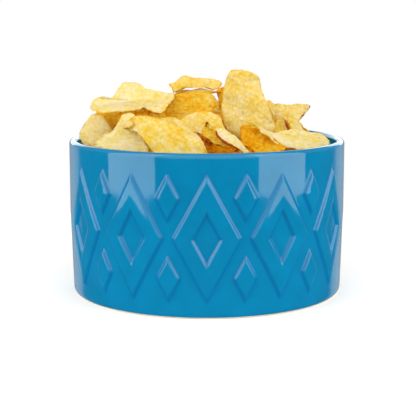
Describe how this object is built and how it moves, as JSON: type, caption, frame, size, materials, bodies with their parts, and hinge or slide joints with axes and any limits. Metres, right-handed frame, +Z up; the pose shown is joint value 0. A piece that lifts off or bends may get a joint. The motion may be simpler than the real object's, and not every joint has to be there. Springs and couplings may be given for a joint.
{
  "type": "bowl of crisps",
  "caption": "Straight-sided glazed ceramic bowl with raised lozenges on its front and back, heaped above its rim with curved potato crisps.",
  "frame": {"origin": "on the bowl's axis at the table, in the plane of the foot ring", "axes": "+Z up along the bowl's axis, +X to the right and +Y away from someone facing the tall standing crisp"},
  "size_m": [0.17, 0.1732, 0.1377],
  "materials": {
    "blue_glaze": "gloss",
    "fried_potato": "satin"
  },
  "bodies": {
    "root": {"bowl": "blue_glaze", "crisps_heap": "fried_potato"}
  },
  "joints": []
}
